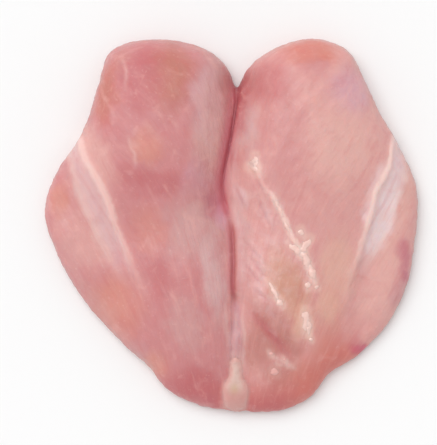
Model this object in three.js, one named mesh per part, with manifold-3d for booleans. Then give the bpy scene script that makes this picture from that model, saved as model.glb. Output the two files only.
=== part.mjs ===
// A raw, skinless and boneless double chicken breast, lying with its smooth outer side up.
//
// Two fillets are still joined along the line of the breastbone. They part in a notch at the thick
// cranial end (+Y), press together in a deep cleft down the middle, and merge at the thin caudal end
// (-Y), where a spoon-shaped tab of keel cartilage is left. On each flank a low flap of muscle lies
// behind a white band of fascia.
//
// Millimetres, +Z up. The origin is at the middle of the outline, on the surface the meat rests on.
import * as THREE from "three";
import { mergeVertices } from "three/addons/utils/BufferGeometryUtils.js";
import Module from "manifold-3d";

// ---- driving dimensions -------------------------------------------------------------------
const WIDTH = 180; // across both flaps
const CELL = 3.3; // spacing of the net that skins the meat
const TAB_CELL = 1.4; // the same for the cartilage tab
const EVENNESS = 0.35; // how far the net's points are drawn to the middle of their cells
const BENEATH = 2.6; // cells between the belly and the net's lowest layer
const GAP = 0.3; // clearance between the meat and the tab set into it

// Plan places are in percent of the half width, so they grow with WIDTH.
const PERCENT = WIDTH / 200;

// Outline seen from above, anticlockwise from the notch between the two fillets.
const OUTLINE = [
  [3.1, 73.0], // notch
  [-1.2, 83.1],
  [-12.4, 93.7],
  [-36.3, 99.3], // crown of the left fillet
  [-57.1, 96.9],
  [-65.6, 91.6], // its shoulder
  [-70.7, 75.6],
  [-76.8, 56.4],
  [-82.2, 44.7], // left flap begins
  [-92.8, 29.8],
  [-100.0, 8.0], // widest point, left
  [-94.9, -11.2],
  [-80.6, -37.3],
  [-57.1, -64.0],
  [-43.8, -75.7], // left flap ends
  [-36.3, -85.8],
  [-19.3, -95.4],
  [4.7, -99.4], // caudal end
  [28.1, -98.6],
  [43.6, -90.6],
  [52.6, -78.9], // right flap ends
  [65.4, -71.2],
  [82.5, -54.4],
  [93.7, -33.1],
  [98.7, -5.4],
  [99.3, 20.2], // widest point, right
  [89.9, 42.1], // right flap begins
  [78.7, 61.2],
  [70.8, 78.3],
  [62.8, 92.9], // shoulder of the right fillet
  [42.5, 99.9], // its crown
  [19.6, 92.7],
  [7.9, 82.6],
];

// Muscle masses: low domes that run into one another. Height is in millimetres above the table,
// and turn is how far the long radius leans from +Y, in degrees, clockwise seen from above.
const MASSES = [
  { at: [-34, 50], radii: [76, 100], turn: 6, height: 31 }, // left fillet, cranial
  { at: [-26, -18], radii: [58, 98], turn: -10, height: 25.5 }, // left fillet, caudal
  { at: [-73, -10], radii: [48, 84], turn: -24, height: 14 }, // left flap
  { at: [38, 46], radii: [75, 104], turn: -6, height: 30 }, // right fillet, cranial
  { at: [28, -21], radii: [59, 98], turn: 10, height: 24.5 }, // right fillet, caudal
  { at: [79, -8], radii: [46, 80], turn: 14, height: 13.5 }, // right flap
];
const MASS_BLEND = 1.6; // mm over which neighbouring masses melt together
const LEAST_CROWN = 6.5; // mm, thickness that no part of the meat goes below inside its rim

// Rounding of the rim.
const RIM_SHARE = 0.3; // height of the widest contour, as a share of the local thickness
const RIM_POWER = 2.15; // 2 is an elliptical edge, more is fuller
const RIM_REACH = 0.72; // how far the rounding reaches in, as a share of the local thickness
const RIM_LEAST = 5; // mm, its least reach
const SINK = 1.3; // mm that the belly bulges below the table before it is cut flat

// The cleft between the fillets, from the notch down. Depth is a share of the local thickness.
const CLEFT = {
  path: [
    [3.4, 78],
    [3.0, 71.5],
    [1.9, 55.7],
    [-0.2, 40],
    [-2.8, 26.8],
    [-4.4, 16.3],
    [-2.3, 8.4],
    [-0.2, 0.5],
    [0.9, -10],
    [0.9, -20.5],
    [1.4, -31],
    [3, -43.1],
    [2.8, -60],
    [2.5, -80],
  ],
  depth: [0.84, 0.8, 0.72, 0.66, 0.6, 0.56, 0.5, 0.46, 0.44, 0.42, 0.34, 0.16, 0.1, 0.04],
  shoulder: [19, 19, 18, 17, 16, 15, 13, 12, 11, 10, 9, 8, 8, 8], // mm from lip to foot
  power: 2.2, // how cusped the two lips are
  foot: 1.7, // mm, rounding at the bottom
};

// Raised bands and sunk creases on the surface: height in millimetres at the middle, negative for
// a crease, and half width in millimetres.
const RELIEF = [
  // fascia band along the edge of the left fillet
  { path: [[-80, 42], [-67.7, 21.6], [-58.7, -2.1], [-51, -23], [-47, -45]], height: 1.3, reach: 2.4 },
  // its outer edge on the flap
  { path: [[-82, 32], [-74.7, 13.7], [-67.8, -4.8], [-58, -24]], height: 0.5, reach: 2.6 },
  // fascia band along the edge of the right fillet
  { path: [[85, 44], [78.4, 24.3], [71, 3.2], [65.2, -17.9], [58.9, -41.7]], height: 1.3, reach: 2.4 },
  // the right fillet's wet, fatty fold and the scraps of fat strung along it
  { path: [[9.7, 34.6], [17.6, 21.5], [25.4, 9.4], [31.7, -4.7], [37, -12.6], [41.7, -29.8]], height: 1.1, reach: 2.2 },
  { path: [[41.7, -29.8], [40, -42], [39, -52]], height: 0.9, reach: 2.4 },
  { path: [[22, -22], [27.5, -31]], height: 0.7, reach: 1.9 },
  { path: [[25.5, -66], [34, -70.5]], height: 0.7, reach: 2.2 },
  // the crease under that fold
  { path: [[12.5, -41.6], [19.3, -45.3], [26.7, -53.7], [36.2, -66.4]], height: -1.5, reach: 2.6 },
  // the branch of the cleft that dents the left fillet
  { path: [[-4.4, 17], [-8, 12.5], [-12, 6]], height: -2.2, reach: 3.2 },
  // hollows between the fillets and their flaps
  { path: [[-78, 30], [-70, 8], [-61, -14], [-54, -34]], height: -1.4, reach: 6 },
  { path: [[88, 30], [82, 8], [75, -14], [66, -38]], height: -1.4, reach: 6 },
];

// The keel cartilage: a thin stalk that spreads into a spoon and turns down over the caudal rim.
const TAB = {
  from: -58, // percent along Y, where the stalk leaves the cleft
  middle: [2.9, -58, 1.6, -99], // x and y at the stalk's start and at the spoon's end
  stalk: 1.5, // mm, half width
  spoon: 6.1, // mm, half width
  spoonFrom: -76,
  spoonFull: -90,
  thick: 1.7, // mm, half thickness; half of that shows above the meat
  foot: 5, // mm above the table, where the tab ends
};

const MEAT_COLOUR = 0xd99c98;
const TAB_COLOUR = 0xe2c4b4;

// ---- curves in plan -------------------------------------------------------------------------

/** A smooth curve through places in percent, as a polyline in millimetres. */
function planCurve(places, closed = false, divisions = 12) {
  const points = places.map(([x, y]) => new THREE.Vector3(x * PERCENT, y * PERCENT, 0));
  const curve = new THREE.CatmullRomCurve3(points, closed, "centripetal");
  return curve.getPoints((closed ? places.length : places.length - 1) * divisions);
}

/** Distance from (x, y) to a polyline, and how far along it the nearest place is, from 0 to 1. */
function nearest(line, x, y) {
  let best = Infinity;
  let along = 0;
  for (let i = 0; i + 1 < line.length; i++) {
    const a = line[i];
    const dx = line[i + 1].x - a.x;
    const dy = line[i + 1].y - a.y;
    const share = THREE.MathUtils.clamp(
      ((x - a.x) * dx + (y - a.y) * dy) / (dx * dx + dy * dy),
      0,
      1,
    );
    const square = (x - a.x - share * dx) ** 2 + (y - a.y - share * dy) ** 2;
    if (square < best) {
      best = square;
      along = (i + share) / (line.length - 1);
    }
  }
  return { distance: Math.sqrt(best), along };
}

/** True if (x, y) is inside a closed polyline. */
function encloses(line, x, y) {
  let inside = false;
  for (let i = 0; i + 1 < line.length; i++) {
    const a = line[i];
    const b = line[i + 1];
    if (a.y > y !== b.y > y && x < a.x + ((y - a.y) / (b.y - a.y)) * (b.x - a.x)) inside = !inside;
  }
  return inside;
}

/** The value at a share from 0 to 1 of a list of evenly spaced stops. */
function graded(stops, share) {
  const place = share * (stops.length - 1);
  const i = Math.min(Math.floor(place), stops.length - 2);
  return THREE.MathUtils.lerp(stops[i], stops[i + 1], place - i);
}

const outline = planCurve(OUTLINE, true);
const cleft = planCurve(CLEFT.path);
const reliefs = RELIEF.map((band) => ({ ...band, line: planCurve(band.path) }));

// ---- the meat's form --------------------------------------------------------------------------

/** Height of the uncut muscle masses over (x, y), melted into one another. */
function massHeight(x, y) {
  let sum = 0;
  for (const { at, radii, turn, height } of MASSES) {
    const lean = THREE.MathUtils.degToRad(turn);
    const dx = x - at[0] * PERCENT;
    const dy = y - at[1] * PERCENT;
    const across = (dx * Math.cos(lean) - dy * Math.sin(lean)) / (radii[0] * PERCENT);
    const length = (dx * Math.sin(lean) + dy * Math.cos(lean)) / (radii[1] * PERCENT);
    sum += Math.exp((height * (1 - across ** 2 - length ** 2)) / MASS_BLEND);
  }
  sum += Math.exp(LEAST_CROWN / MASS_BLEND);
  return MASS_BLEND * Math.log(sum);
}

/** Thickness of the meat over (x, y) before its rim is rounded: masses, relief and cleft. */
function crownHeight(x, y) {
  let height = massHeight(x, y);
  for (const { line, height: rise, reach } of reliefs) {
    const { distance, along } = nearest(line, x, y);
    const fade = Math.sin(Math.PI * THREE.MathUtils.clamp(along, 0.12, 0.88));
    height += rise * fade * Math.exp(-((distance / reach) ** 2));
  }
  const { distance, along } = nearest(cleft, x, y);
  const fromFoot = Math.hypot(distance, CLEFT.foot) - CLEFT.foot;
  const gap = Math.max(0, 1 - fromFoot / graded(CLEFT.shoulder, along));
  return height * (1 - graded(CLEFT.depth, along) * gap ** CLEFT.power);
}

/** Below 0 inside the meat, above 0 outside it. */
function meatField(x, y, z) {
  const crown = crownHeight(x, y);
  const fromRim = nearest(outline, x, y).distance * (encloses(outline, x, y) ? 1 : -1);
  const edge = Math.max(0, 1 - fromRim / Math.max(RIM_LEAST, crown * RIM_REACH));
  const rim = crown * RIM_SHARE;
  const level = z > rim ? (z - rim) / (crown - rim) : (rim - z) / (rim + SINK);
  return (edge ** RIM_POWER + level ** RIM_POWER) ** (1 / RIM_POWER) - 1;
}

/** The field's gradient, by small differences. */
function gradient(field, p, step = 0.05) {
  return new THREE.Vector3(
    field(p.x + step, p.y, p.z) - field(p.x - step, p.y, p.z),
    field(p.x, p.y + step, p.z) - field(p.x, p.y - step, p.z),
    field(p.x, p.y, p.z + step) - field(p.x, p.y, p.z - step),
  ).divideScalar(2 * step);
}

/** The cartilage tab, grown by a margin: a patch that follows the meat's own surface. */
function tabField(x, y, z, margin = 0) {
  const [x0, y0, x1, y1] = TAB.middle;
  const share = THREE.MathUtils.clamp((y / PERCENT - y0) / (y1 - y0), 0, 1);
  const spread = THREE.MathUtils.smoothstep(-y / PERCENT, -TAB.spoonFrom, -TAB.spoonFull);
  const width = THREE.MathUtils.lerp(TAB.stalk, TAB.spoon, spread) + margin;
  const across = (x - THREE.MathUtils.lerp(x0, x1, share) * PERCENT) / width;
  const before = Math.max(0, y - TAB.from * PERCENT) / width;
  const below = Math.max(0, TAB.foot - z) / (TAB.thick + margin);
  const place = new THREE.Vector3(x, y, z);
  const off = meatField(x, y, z) / Math.max(gradient(meatField, place).length(), 0.02);
  return Math.hypot(across, before, below, off / (TAB.thick + margin)) - 1;
}

// ---- from a field to a mesh ---------------------------------------------------------------------

/** Skins the zero level of a field with a net of quads, one vertex to a cell that it crosses. */
function netSurface(field, low, high, cell) {
  const count = high.clone().sub(low).divideScalar(cell).ceil().addScalar(1);
  const index = (i, j, k) => (k * count.y + j) * count.x + i;
  const value = new Float32Array(count.x * count.y * count.z);
  for (let k = 0; k < count.z; k++)
    for (let j = 0; j < count.y; j++)
      for (let i = 0; i < count.x; i++)
        value[index(i, j, k)] = field(low.x + i * cell, low.y + j * cell, low.z + k * cell);

  const corners = [0, 1, 2, 3, 4, 5, 6, 7].map((c) => [c & 1, (c >> 1) & 1, c >> 2]);
  const vertexOf = new Map();
  const vertices = [];
  for (let k = 0; k + 1 < count.z; k++)
    for (let j = 0; j + 1 < count.y; j++)
      for (let i = 0; i + 1 < count.x; i++) {
        const middle = new THREE.Vector3();
        let crossings = 0;
        corners.forEach(([a, b, c], from) => {
          for (const bit of [1, 2, 4]) {
            if (from & bit) continue;
            const [d, e, f] = corners[from | bit];
            const v0 = value[index(i + a, j + b, k + c)];
            const v1 = value[index(i + d, j + e, k + f)];
            if (v0 < 0 === v1 < 0) continue;
            const t = v0 / (v0 - v1);
            middle.add(new THREE.Vector3(a + t * (d - a), b + t * (e - b), c + t * (f - c)));
            crossings++;
          }
        });
        if (!crossings) continue;
        vertexOf.set(index(i, j, k), vertices.length);
        middle.divideScalar(crossings).lerp(new THREE.Vector3(0.5, 0.5, 0.5), EVENNESS);
        middle.add(new THREE.Vector3(i, j, k));
        vertices.push(settle(field, middle.multiplyScalar(cell).add(low), cell));
      }

  const triangles = [];
  const steps = [1, count.x, count.x * count.y];
  for (let k = 1; k + 1 < count.z; k++)
    for (let j = 1; j + 1 < count.y; j++)
      for (let i = 1; i + 1 < count.x; i++) {
        const here = index(i, j, k);
        steps.forEach((step, axis) => {
          const inside = value[here] < 0;
          if (inside === value[here + step] < 0) return;
          const u = steps[(axis + 1) % 3];
          const v = steps[(axis + 2) % 3];
          const [a, b, c, d] = [here - u - v, here - v, here, here - u].map((n) => vertexOf.get(n));
          triangles.push(...(inside ? [a, b, c, a, c, d] : [a, c, b, a, d, c]));
        });
      }

  return new THREE.BufferGeometry()
    .setAttribute("position", new THREE.Float32BufferAttribute(vertices.flatMap((v) => [...v]), 3))
    .setIndex(triangles);
}

/** Moves a point onto the field's zero level, by no more than about half a cell. */
function settle(field, point, cell) {
  const start = point.clone();
  for (let i = 0; i < 4; i++) {
    const slope = gradient(field, point);
    const size = Math.max(slope.lengthSq(), 1e-4);
    const move = slope.multiplyScalar(-field(point.x, point.y, point.z) / size);
    point.add(move.clampLength(0, cell / 4));
    point.sub(start).clampLength(0, cell / 2).add(start);
  }
  return point;
}

const wasm = await Module();
wasm.setup();

/** A closed three.js geometry as a solid for cutting. */
function solidOf(geometry) {
  const bare = geometry.clone();
  bare.deleteAttribute("normal");
  bare.deleteAttribute("uv");
  const merged = mergeVertices(bare, 1e-4);
  return new wasm.Manifold(
    new wasm.Mesh({
      numProp: 3,
      vertProperties: new Float32Array(merged.attributes.position.array),
      triVerts: new Uint32Array(merged.index.array),
    }),
  );
}

/** A solid as a named three.js mesh. */
function meshOf(solid, name, material) {
  const { vertProperties, triVerts } = solid.getMesh();
  const geometry = new THREE.BufferGeometry()
    .setAttribute("position", new THREE.BufferAttribute(vertProperties, 3))
    .setIndex(new THREE.BufferAttribute(triVerts, 1));
  geometry.computeVertexNormals();
  const mesh = new THREE.Mesh(geometry, material);
  mesh.name = name;
  return mesh;
}

// ---- the two pieces -------------------------------------------------------------------------

const reach = WIDTH / 2 + 2 * CELL;
const tallest = Math.max(...MASSES.map((mass) => mass.height)) + 2 * CELL;
const below = -SINK - BENEATH * CELL;

/** Everything under the table's surface, which the meat is cut flat by. */
function tableBlock() {
  return solidOf(new THREE.BoxGeometry(4 * WIDTH, 4 * WIDTH, 100).translate(0, 0, -50));
}

/** The tab's solid, grown by a margin. */
function tabSolid(margin) {
  const half = TAB.spoon + 3 * TAB_CELL;
  const middle = TAB.middle[2] * PERCENT;
  const low = new THREE.Vector3(middle - half, -WIDTH / 2 - 4, 0);
  const high = new THREE.Vector3(middle + half, (TAB.from + 6) * PERCENT, 22);
  return solidOf(netSurface((x, y, z) => tabField(x, y, z, margin), low, high, TAB_CELL));
}

const meat = solidOf(
  netSurface(
    meatField,
    new THREE.Vector3(-reach, -reach, below),
    new THREE.Vector3(reach, reach, tallest),
    CELL,
  ),
)
  .subtract(tableBlock())
  .subtract(tabSolid(GAP));

const meatMaterial = new THREE.MeshStandardMaterial({ color: MEAT_COLOUR, roughness: 0.38, metalness: 0 });
const tabMaterial = new THREE.MeshStandardMaterial({ color: TAB_COLOUR, roughness: 0.34, metalness: 0 });

const chickenBreast = new THREE.Group();
chickenBreast.name = "chicken_breast";
chickenBreast.add(
  meshOf(meat, "double_breast", meatMaterial),
  meshOf(tabSolid(0), "keel_cartilage", tabMaterial),
);

export default chickenBreast;
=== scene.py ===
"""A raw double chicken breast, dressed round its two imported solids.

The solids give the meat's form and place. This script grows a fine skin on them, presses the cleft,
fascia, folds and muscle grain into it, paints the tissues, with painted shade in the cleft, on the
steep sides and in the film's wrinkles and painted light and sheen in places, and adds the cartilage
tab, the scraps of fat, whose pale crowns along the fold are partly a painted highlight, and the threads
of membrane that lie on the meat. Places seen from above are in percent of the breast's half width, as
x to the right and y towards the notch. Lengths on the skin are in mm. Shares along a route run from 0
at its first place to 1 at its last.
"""

from __future__ import annotations

import logging
import math
from dataclasses import dataclass
from enum import Enum
from typing import Sequence

import bmesh
import bpy
import numpy as np
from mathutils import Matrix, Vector, noise
from mathutils.bvhtree import BVHTree

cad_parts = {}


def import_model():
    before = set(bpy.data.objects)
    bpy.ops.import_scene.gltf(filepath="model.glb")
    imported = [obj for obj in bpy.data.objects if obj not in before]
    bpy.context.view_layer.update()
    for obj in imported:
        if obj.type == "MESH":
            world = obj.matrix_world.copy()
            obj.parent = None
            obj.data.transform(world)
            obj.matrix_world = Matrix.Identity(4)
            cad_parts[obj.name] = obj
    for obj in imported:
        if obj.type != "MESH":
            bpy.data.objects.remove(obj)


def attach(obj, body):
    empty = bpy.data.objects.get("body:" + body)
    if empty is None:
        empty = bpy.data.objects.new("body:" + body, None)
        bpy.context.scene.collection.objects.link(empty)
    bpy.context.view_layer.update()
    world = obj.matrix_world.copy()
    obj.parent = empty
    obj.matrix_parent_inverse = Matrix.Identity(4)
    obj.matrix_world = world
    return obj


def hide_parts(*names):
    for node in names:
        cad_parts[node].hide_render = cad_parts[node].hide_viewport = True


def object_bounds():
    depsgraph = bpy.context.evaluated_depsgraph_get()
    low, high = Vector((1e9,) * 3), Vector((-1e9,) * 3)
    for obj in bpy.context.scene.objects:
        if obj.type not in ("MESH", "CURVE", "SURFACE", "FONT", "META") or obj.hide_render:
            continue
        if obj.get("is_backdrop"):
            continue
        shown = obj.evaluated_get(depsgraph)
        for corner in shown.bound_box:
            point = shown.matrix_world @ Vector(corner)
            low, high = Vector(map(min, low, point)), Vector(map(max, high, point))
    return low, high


LOG = logging.getLogger("chicken_breast")
MM = 0.001  # metres in a millimetre

Places = Sequence[tuple[float, float]]
Pair = tuple[float, float]  # a value for the right side and one for the left
Colour = tuple[float, float, float, float]
Socket = bpy.types.NodeSocket
Inputs = dict[str | int, object]


# ---- small helpers ------------------------------------------------------------------------------


def colour(code: int) -> Colour:
    """The linear colour of a screen colour.

    Args:
        code: red, green and blue as one number, such as 0xD99C98.

    Returns:
        Red, green, blue and an alpha of 1.
    """
    channels = ((code >> 16 & 255) / 255, (code >> 8 & 255) / 255, (code & 255) / 255)
    return (*(c / 12.92 if c <= 0.04045 else ((c + 0.055) / 1.055) ** 2.4 for c in channels), 1.0)


def smooth(low: float, high: float, value: np.ndarray) -> np.ndarray:
    """A soft step from 0 at low to 1 at high."""
    share = np.clip((value - low) / (high - low), 0, 1)
    return share * share * (3 - 2 * share)


def bell(value: np.ndarray, width: float | np.ndarray) -> np.ndarray:
    """A rounded hump, 1 where the value is 0 and fading over the width."""
    return np.exp(-((value / width) ** 2))


def arch(along: np.ndarray, margin: float = 0.02) -> np.ndarray:
    """A hump over the whole of a route, close to 0 at both of its ends."""
    return np.sin(np.pi * np.clip(along, margin, 1 - margin))


def ridges(across: np.ndarray, *each: tuple[float, float, float]) -> np.ndarray:
    """Ridges and dips along a route, each with its height, the place of its middle and its width in mm."""
    return sum(height * bell(across - middle, width) for height, middle, width in each)


def grain(places: np.ndarray, lump: float | Sequence[float], seed: float, octaves: int = 2) -> np.ndarray:
    """Smooth noise about 0.

    Args:
        places: one row of three numbers to a place.
        lump: size of a lump in the same unit, or one size to each axis.
        seed: shifts the pattern.
        octaves: layers of finer and finer lumps.

    Returns:
        One value to a place, mostly from -1 to 1.
    """
    shifted = places / np.asarray(lump) + np.array((seed, 1.7 * seed, -0.6 * seed))
    return np.array([noise.fractal(row, 1.0, 2.0, octaves) for row in shifted.tolist()])


@dataclass(frozen=True)
class Near:
    """How places lie to a route: mm across it, positive on its left, and share of the way along it."""

    across: np.ndarray
    along: np.ndarray


@dataclass(frozen=True)
class Plan:
    """Turns places in percent of the half width into millimetres seen from above."""

    half_width: float

    def curve(self, route: Places, steps: int = 8) -> np.ndarray:
        """A smooth line through places.

        Args:
            route: at least two places in percent.
            steps: points to each stretch.

        Returns:
            The line's points in mm, one row to a point.
        """
        given = np.array(route, float) * self.half_width / 100
        ends = np.vstack((2 * given[0] - given[1], given, 2 * given[-1] - given[-2]))
        points = []
        for a, b, c, d in zip(ends, ends[1:], ends[2:], ends[3:]):
            for t in np.linspace(0, 1, steps, endpoint=False):
                bend = 2 * a - 5 * b + 4 * c - d + t * (3 * (b - c) + d - a)
                points.append(b + 0.5 * t * (c - a + t * bend))
        return np.vstack((*points, given[-1]))

    def near(self, route: Places, places: np.ndarray, steps: int = 8) -> Near:
        """How places lie to the smooth line through a route.

        Args:
            route: at least two places in percent.
            places: one row of x, y and z in mm to a place.
            steps: points of the line to each stretch of the route.

        Returns:
            Where each place is across the line and along it.
        """
        line = self.curve(route, steps)
        best = np.full(len(places), np.inf)
        side = np.zeros(len(places))
        along = np.zeros(len(places))
        for i, (start, step) in enumerate(zip(line, np.diff(line, axis=0))):
            offset = places[:, :2] - start
            share = np.clip(offset @ step / (step @ step), 0, 1)
            apart = offset - share[:, None] * step
            square = (apart**2).sum(1)
            closer = square < best
            best[closer] = square[closer]
            side[closer] = np.where(offset[closer, 1] * step[0] < offset[closer, 0] * step[1], -1, 1)
            along[closer] = (i + share[closer]) / (len(line) - 1)
        return Near(np.sqrt(best) * side, along)


class Tone(Enum):
    """Colours of the tissues, and of the painted shade and light laid over them, as they look on screen under
    plain light.
    """

    ROSE = 0xD18889
    PINK = 0xDFA09C
    PALE = 0xE6B0A8
    SALMON = 0xDA8F82
    RUST = 0xC4786C
    RED = 0xC3666A
    LILAC = 0xD8A2AF
    MAUVE = 0xC48791
    ASHEN = 0xD3A09E
    # painted shade for the steep sides of the meat
    BRUISE = 0xC2677A
    EMBER = 0xD4746A
    SHADED_SIDE = 0xC08A84
    SAND = 0xDCA48C
    PEACH = 0xE8B6A2
    SILVER = 0xE9CACB
    CREAM = 0xF3D3CB
    HALO = 0xF0C4B8
    # blood at the slit's foot, dark enough to be painted shade as well
    BLOOD_AND_SHADE = 0xC15D69
    MAGENTA = 0xD05A7C
    CLAY = 0xC27C73
    SLATE = 0x9C7F86
    GARNET = 0xA64446
    # painted shade at the foot of the slit
    SLIT_SHADE = 0x8A3436
    GRISTLE = 0xD89F98
    # silver skin painted lighter, as painted light
    SILVER_WITH_PAINTED_LIGHT = 0xFCE2E4
    CARTILAGE = 0xDAB8AE
    CARTILAGE_RIM = 0xDAAFA6
    CARTILAGE_FOOT = 0xCD908A
    MARROW = 0xCDAE90
    # pale fat, its crown partly a painted highlight
    FAT_AND_GLINT = 0xF0CAC0
    FAT_RIM = 0xE4B0A5
    SCRAP = 0xE3AAA3
    SCRAP_RIM = 0xD89A91

    @property
    def linear(self) -> Colour:
        """The tone as a linear colour."""
        return colour(self.value)


@dataclass
class Tint:
    """The tint of a skin's points, laid on tone by tone."""

    colours: np.ndarray

    @classmethod
    def plain(cls, tone: Tone, count: int) -> Tint:
        """So many points of one tone."""
        return cls(np.tile(np.array(tone.linear), (count, 1)))

    def lay(self, share: np.ndarray, tone: Tone) -> None:
        """Mixes a tone in, by a share to each point."""
        self.colours += share[:, None] * (np.array(tone.linear) - self.colours)


# ---- node trees ---------------------------------------------------------------------------------


class Shader:
    """A material's node tree while it is being put together."""

    def __init__(self, name: str) -> None:
        """Starts an empty material."""
        self.material = bpy.data.materials.new(name)
        self.material.use_nodes = True
        self.tree = self.material.node_tree
        self.tree.nodes.clear()

    def node(self, kind: str, inputs: Inputs | None = None, **settings: object) -> bpy.types.Node:
        """Adds a node.

        Args:
            kind: the node's type, without the leading "ShaderNode".
            inputs: sockets to link or constants to set, by input name or number.
            settings: properties of the node.

        Returns:
            The node.
        """
        made = self.tree.nodes.new("ShaderNode" + kind)
        for name, value in settings.items():
            setattr(made, name, value)
        for name, value in (inputs or {}).items():
            if isinstance(value, bpy.types.NodeSocket):
                self.tree.links.new(value, made.inputs[name])
            else:
                made.inputs[name].default_value = value
        return made

    def place(self) -> Socket:
        """Where a point of the piece is, in mm."""
        return self.scaled(self.node("TexCoord").outputs["Object"], (1 / MM,) * 3)

    def attribute(self, name: str, output: str = "Fac") -> Socket:
        """A value that the mesh carries."""
        return self.node("Attribute", attribute_name=name).outputs[output]

    def scaled(self, vector: Socket, factors: Sequence[float]) -> Socket:
        """A vector times a factor to each axis."""
        return self.node("VectorMath", {0: vector, 1: tuple(factors)}, operation="MULTIPLY").outputs[0]

    def noise(self, vector: Socket, scale: float, detail: float = 3.0, warp: float = 0.0) -> Socket:
        """Noise from 0 to 1 with a mean of a half."""
        inputs = {"Vector": vector, "Scale": scale, "Detail": detail, "Distortion": warp}
        return self.node("TexNoise", inputs).outputs["Fac"]

    def frayed(self, value: Socket, cloud: Socket, depth: float) -> Socket:
        """A value made uneven by a noise, by up to half a depth either way."""
        ragged = self.sum("MULTIPLY", self.sum("SUBTRACT", cloud, 0.5), depth)
        return self.sum("ADD", value, ragged)

    def sum(self, kind: str, a: object, b: object = 0.0) -> Socket:
        """A Math node of the named kind."""
        return self.node("Math", {0: a, 1: b}, operation=kind).outputs[0]

    def step(self, value: Socket, low: float, high: float, to: float = 1.0) -> Socket:
        """A soft step from 0 at low to a given height at high."""
        inputs = {"Value": value, "From Min": low, "From Max": high, "To Max": to}
        return self.node("MapRange", inputs, interpolation_type="SMOOTHSTEP").outputs[0]

    def line(self, distance: Socket, half_width: float, soft: float, to: float = 1.0) -> Socket:
        """A band, full within a half width of distance 0 and fading over the soft edge."""
        return self.step(self.sum("ABSOLUTE", distance), half_width + soft, half_width, to)

    def mix(self, share: object, a: object, b: object) -> Socket:
        """Colour b over colour a by a share."""
        return self.node("Mix", {0: share, 6: a, 7: b}, data_type="RGBA").outputs[2]

    def layers(self, under: object, *each: tuple[Socket, float, float, float, Tone]) -> Socket:
        """Tones over a colour.

        Args:
            under: the colour.
            each: a pattern, its values where the tone is absent and where it is full, the tone's share
                there, and the tone.

        Returns:
            The mixed colour.
        """
        for pattern, absent, full, share, tone in each:
            under = self.mix(self.step(pattern, absent, full, share), under, tone.linear)
        return under

    def bands(
        self, under: object, strength: Socket, *each: tuple[Socket, float, float, float, Tone]
    ) -> Socket:
        """Tones over a colour, in bands along a route.

        Args:
            under: the colour.
            strength: how strongly the bands show, from 0 to 1.
            each: distance to the band's middle, its half width and soft edge, the tone's share, the tone.

        Returns:
            The mixed colour.
        """
        for distance, half_width, soft, share, tone in each:
            seen = self.sum("MULTIPLY", self.line(distance, half_width, soft, share), strength)
            under = self.mix(seen, under, tone.linear)
        return under

    def bumps(self, *each: tuple[Socket, float]) -> Socket:
        """Bumps, each over the ones before.

        Args:
            each: a height from 0 to 1, and in mm how deep it goes.

        Returns:
            The bumped normal.
        """
        normal = None
        for height, depth in each:
            inputs: Inputs = {"Height": height, "Strength": 1.0, "Distance": depth * MM}
            if normal is not None:
                inputs["Normal"] = normal
            normal = self.node("Bump", inputs).outputs[0]
        return normal

    def finish(self, inputs: Inputs) -> bpy.types.Material:
        """Ends the tree in a Principled shader with these inputs."""
        surface = self.node("BsdfPrincipled", inputs)
        self.node("OutputMaterial", {"Surface": surface.outputs[0]})
        return self.material


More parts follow.
